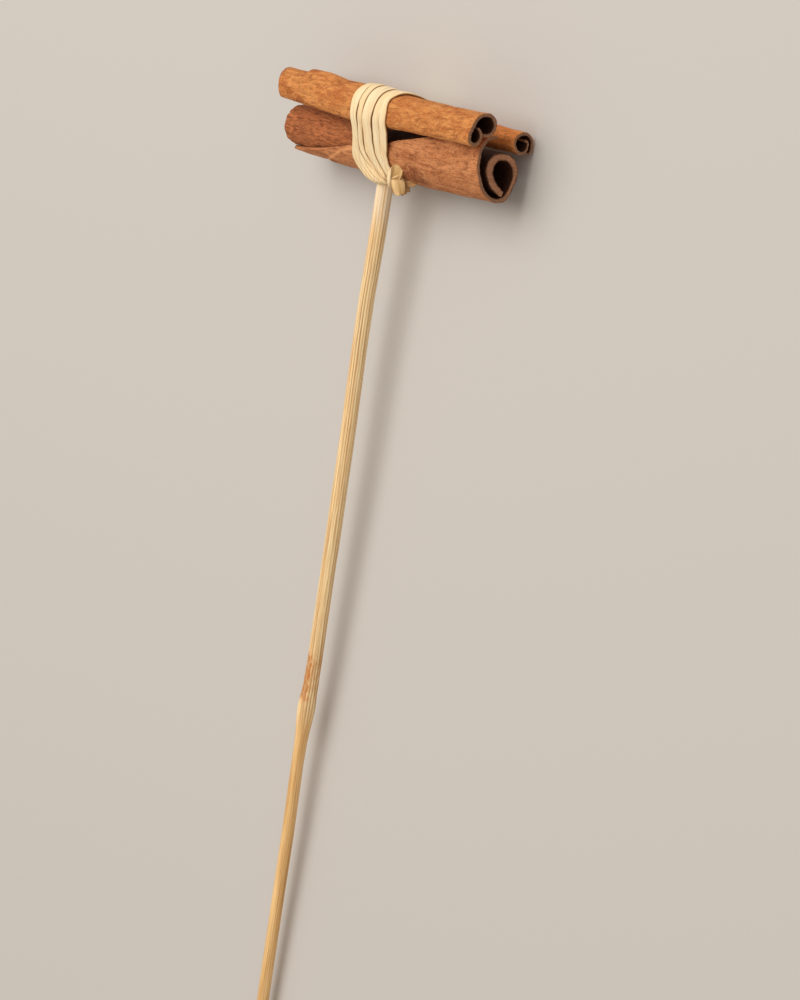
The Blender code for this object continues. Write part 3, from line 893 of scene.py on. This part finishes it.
def bark_material(name, light, middle, dark, seed):
    """Bark: fibres run along the quill, with mottling, small slanted marks and darker pores, and a dark
    brown inner face and covered roll: painted shade, on the inner face partly its own colour.
    """
    n = Nodes(name, 0.75, 0.16)
    sheet, _ = n.fact("bark")
    _, cut = n.fact("cut")
    _, roll = n.fact("roll")
    _, inner_bark_and_painted_shade = n.fact("inner_bark_and_painted_shade")
    sheet = n.moved(sheet, (seed * 13.7, seed * 5.1, 0))
    patches = n.noise(sheet, (0.11, 0.34, 1), 5, 0.75, 0.3)
    spots = n.noise(sheet, (0.24, 0.42, 1), 3, 0.6, 0.5)
    mottle = n.noise(sheet, (0.42, 1.3, 1), 5, 0.75, 0.6)
    fibres = n.noise(sheet, (0.16, 1.7, 1), 5, 0.7, 0.4)
    fine = n.noise(sheet, (1.3, 6.0, 1), 3, 0.7)
    marks = n.noise(n.turned(sheet, 38), (0.45, 2.4, 1), 3, 0.6)
    scratches = n.noise(n.turned(sheet, -62), (0.3, 2.6, 1), 2, 0.5)
    pores = n.noise(sheet, (1.3, 2.6, 1), 1, 0.5)
    base = n.blend(n.span(patches, 0.38, 0.62), middle, light)
    base = n.blend(n.span(spots, 0.56, 0.72, 0.0, 0.5), base, dark)
    base = n.blend(n.span(mottle, 0.46, 0.7, 0.0, 0.6), base, dark)
    base = n.blend(n.span(mottle, 0.3, 0.47, 0.75, 0.0), base, light)
    base = n.blend(n.span(fibres, 0.5, 0.66, 0.0, 0.6), base, dark)
    base = n.blend(n.span(marks, 0.53, 0.68, 0.0, 0.7), base, light)
    _, scuffed = n.fact("scuffed")
    scratched = n.maths("MAXIMUM", scuffed, n.span(patches, 0.5, 0.6))
    scratched = n.maths("MULTIPLY", n.span(scratches, 0.56, 0.66), scratched)
    base = n.blend(n.maths("MULTIPLY", scratched, 0.7), base, light)
    base = n.blend(n.span(fine, 0.5, 0.7, 0.0, 0.45), base, dark)
    base = n.blend(n.span(pores, 0.67, 0.73, 0.0, 0.6), base, colour(84, 42, 22))
    _, fresh = n.fact("fresh")
    base = n.blend(n.maths("MULTIPLY", fresh, 0.9), base, colour(232, 164, 108))
    _, stain = n.fact("stain")
    blotches = n.noise(sheet, (0.5, 0.7, 1), 4, 0.7, 0.8)
    base = n.blend(n.maths("MULTIPLY", stain, n.span(blotches, 0.34, 0.56)), base, colour(120, 60, 36))
    old = n.noise(sheet, (0.3, 1.9, 1), 5, 0.7, 1.3)
    old = n.blend(n.span(old, 0.36, 0.62), colour(110, 56, 30), colour(196, 116, 68))
    base = n.blend(n.maths("MULTIPLY", roll, 0.8), base, old)
    # Painted shade: dark brown on the covered inner roll. On the inner face it is partly the bark's own
    # colour and partly painted shade.
    base = n.blend(inner_bark_and_painted_shade, base, colour(66, 36, 20))
    wear_and_painted_shade = n.noise(sheet, (2.2, 2.2, 5), 3, 0.7)
    edge = n.blend(n.span(wear_and_painted_shade, 0.4, 0.6), colour(184, 138, 106), colour(120, 86, 66))
    core = n.blend(n.span(wear_and_painted_shade, 0.4, 0.6), colour(200, 144, 108), colour(150, 102, 76))
    edge = n.blend(roll, edge, core)
    base = n.blend(cut, base, edge)
    n.feed(n.shader.inputs["Base Color"], base)
    height = n.maths("ADD", n.maths("MULTIPLY", fibres, 0.8), n.maths("MULTIPLY", fine, 0.35))
    height = n.maths("ADD", height, n.maths("MULTIPLY", marks, 0.3))
    height = n.maths("ADD", height, n.maths("MULTIPLY", mottle, -0.7))
    n.feed(n.shader.inputs["Normal"], n.bump(height, 0.0004))
    return n.material


def reed_material():
    """Reed: ribbed straw, more golden and smoother below its node, with a reddish scar above it and painted
    shade in its grooves.
    """
    n = Nodes("reed", 0.5, 0.35)
    fibre, _ = n.fact("fibre")
    _, groove = n.fact("groove")
    _, scar = n.fact("scar")
    _, below = n.fact("below")
    streaks = n.noise(fibre, (1.5, 0.035, 1), 4, 0.65)
    fine = n.noise(fibre, (5.0, 0.1, 1), 3, 0.6)
    broad = n.noise(fibre, (0.3, 0.03, 1), 3, 0.6)
    flecks = n.noise(fibre, (2.2, 0.5, 1), 2, 0.6)
    upper = n.blend(n.span(broad, 0.35, 0.65), colour(246, 206, 148), colour(255, 230, 178))
    lower = n.blend(n.span(broad, 0.35, 0.65), colour(226, 178, 112), colour(242, 200, 138))
    base = n.blend(below, upper, lower)
    base = n.blend(n.span(streaks, 0.48, 0.66, 0.0, 0.7), base, colour(194, 144, 88))
    base = n.blend(n.span(fine, 0.48, 0.66, 0.0, 0.45), base, colour(204, 156, 100))
    base = n.blend(n.span(flecks, 0.68, 0.76, 0.0, 0.5), base, colour(150, 104, 60))
    # Painted shade: the grooves between the ribs go darker, and the scar darkens with them as its own
    # colour.
    base = n.blend(n.span(groove, 0.74, 1.0, 0.0, 0.75), base, colour(160, 112, 64))
    _, pale = n.fact("pale")
    pale = n.maths("MULTIPLY", pale, n.span(streaks, 0.62, 0.44, 0.0, 0.7))
    base = n.blend(pale, base, colour(248, 230, 202))
    old = n.noise(fibre, (1.1, 0.3, 1), 3, 0.7)
    base = n.blend(n.maths("MULTIPLY", scar, n.span(old, 0.4, 0.6)), base, colour(196, 120, 56))
    n.feed(n.shader.inputs["Base Color"], base)
    height = n.maths("ADD", n.maths("MULTIPLY", streaks, 0.7), n.maths("MULTIPLY", fine, 0.4))
    n.feed(n.shader.inputs["Normal"], n.bump(height, 0.0002))
    return n.material


def raffia_material(name, light, middle, dark):
    """Raffia: pale straw with fibres along its length, with painted shade at its edges and in its creases.
    """
    n = Nodes(name, 0.55, 0.35)
    fibre, _ = n.fact("fibre")
    _, wear_and_painted_shade = n.fact("edge")
    streaks = n.noise(fibre, (2.6, 0.05, 1), 4, 0.65)
    fine = n.noise(fibre, (9.0, 0.16, 1), 3, 0.6)
    broad = n.noise(fibre, (0.4, 0.09, 1), 2, 0.5)
    base = n.blend(n.span(broad, 0.35, 0.65), middle, light)
    base = n.blend(n.span(streaks, 0.5, 0.72, 0.0, 0.5), base, dark)
    base = n.blend(n.span(fine, 0.5, 0.7, 0.0, 0.35), base, middle)
    # Painted shade: edges and creases go dark ochre.
    base = n.blend(n.span(wear_and_painted_shade, 0.8, 1.0, 0.0, 0.9), base, dark)
    n.feed(n.shader.inputs["Base Color"], base)
    height = n.maths("ADD", n.maths("MULTIPLY", streaks, 0.7), n.maths("MULTIPLY", fine, 0.4))
    n.feed(n.shader.inputs["Normal"], n.bump(height, 0.00025))
    return n.material


# ---- Stage


def make_floor():
    mesh = bpy.data.meshes.new("floor")
    corners = [(x * FLOOR_REACH, y * FLOOR_REACH, FLOOR) for x, y in ((-1, -1), (1, -1), (1, 1), (-1, 1))]
    mesh.from_pydata(corners, [], [(0, 1, 2, 3)])
    floor = bpy.data.objects.new("floor", mesh)
    bpy.context.scene.collection.objects.link(floor)
    n = Nodes("floor", 0.9, 0.1)
    n.feed(n.shader.inputs["Base Color"], colour(197, 192, 186))
    mesh.materials.append(n.material)


def add_light(name, tie, direction, distance, size, watts, tint):
    light = bpy.data.lights.new(name, "AREA")
    light.shape = "DISK"
    light.size = size
    light.energy = watts
    light.color = tint
    lamp = bpy.data.objects.new(name, light)
    bpy.context.scene.collection.objects.link(lamp)
    back = Vector(direction).normalized()
    lamp.location = Vector(tie) + back * distance
    lamp.rotation_mode = "QUATERNION"
    lamp.rotation_quaternion = (-back).to_track_quat("-Z", "Y")


def make_world():
    world = bpy.data.worlds.new("studio")
    world.use_nodes = True
    background = world.node_tree.nodes["Background"]
    background.inputs["Color"].default_value = colour(236, 228, 220)
    background.inputs["Strength"].default_value = SKY_STRENGTH
    bpy.context.scene.world = world


def make_camera(tie):
    """Looks down on the shown side; aimed below the tie, so that the stem leaves the picture."""
    tie = Vector(tie)
    right, up, back = view_axes()
    place = tie + back * CAMERA_DISTANCE
    aim = tie + right * AIM_RIGHT - up * AIM_DOWN
    back = (place - aim).normalized()
    right = (right - back * right.dot(back)).normalized()
    up = back.cross(right)
    data = bpy.data.cameras.new("camera")
    data.lens = CAMERA_LENS
    data.sensor_width = SENSOR
    data.clip_start, data.clip_end = 0.05, 50.0
    camera = bpy.data.objects.new("camera", data)
    bpy.context.scene.collection.objects.link(camera)
    camera.matrix_world = Matrix.Translation(place) @ Matrix((right, up, back)).transposed().to_4x4()
    bpy.context.scene.camera = camera


def find_tie():
    """The tie's place in metres: the large quill's own outline set on its solid's box."""
    cloud = outline(LARGE, 60, 200).reshape(-1, 3)
    low, high = (np.array(corner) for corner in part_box("quill_large"))
    return (low + high) / 2 - (cloud.min(axis=0) + cloud.max(axis=0)) / 2 * MM


def main():
    tie = find_tie()
    make_camera(tie)
    make_world()
    make_floor()
    add_light("key", tie, **LAMP)
    tan = bark_material("bark_tan", *TAN, 1)
    orange = bark_material("bark_orange", *ORANGE, 2)
    # The thin quill's material carries painted light that makes up for the shadow on it.
    brown_with_painted_light = bark_material("bark_brown_with_painted_light", *BROWN_WITH_PAINTED_LIGHT, 3)
    for quill, material in ((LARGE, tan), (UPPER, orange), (THIN, brown_with_painted_light)):
        make_quill(quill, tie, material)
    loops = band_surface()
    raffia = raffia_material("raffia", *RAFFIA)
    knotted = raffia_material("raffia_knot", *RAFFIA_KNOT)
    dark_raffia = raffia_material("raffia_dark", *RAFFIA_DARK)
    for number in range(len(RIBBONS)):
        make_ribbon(number, loops, tie, raffia)
    for number, (name, marks) in enumerate(KNOT_STRIPS.items()):
        # The tail and the strip under the knot's end get the darker raffia colours.
        finish = {"wrap": raffia, "tail": dark_raffia, "end_under": dark_raffia}.get(name, knotted)
        make_strip(number, name, marks, tie, finish)
    make_stem(tie, reed_material())
    bpy.context.scene.view_settings.view_transform = "Standard"


main()
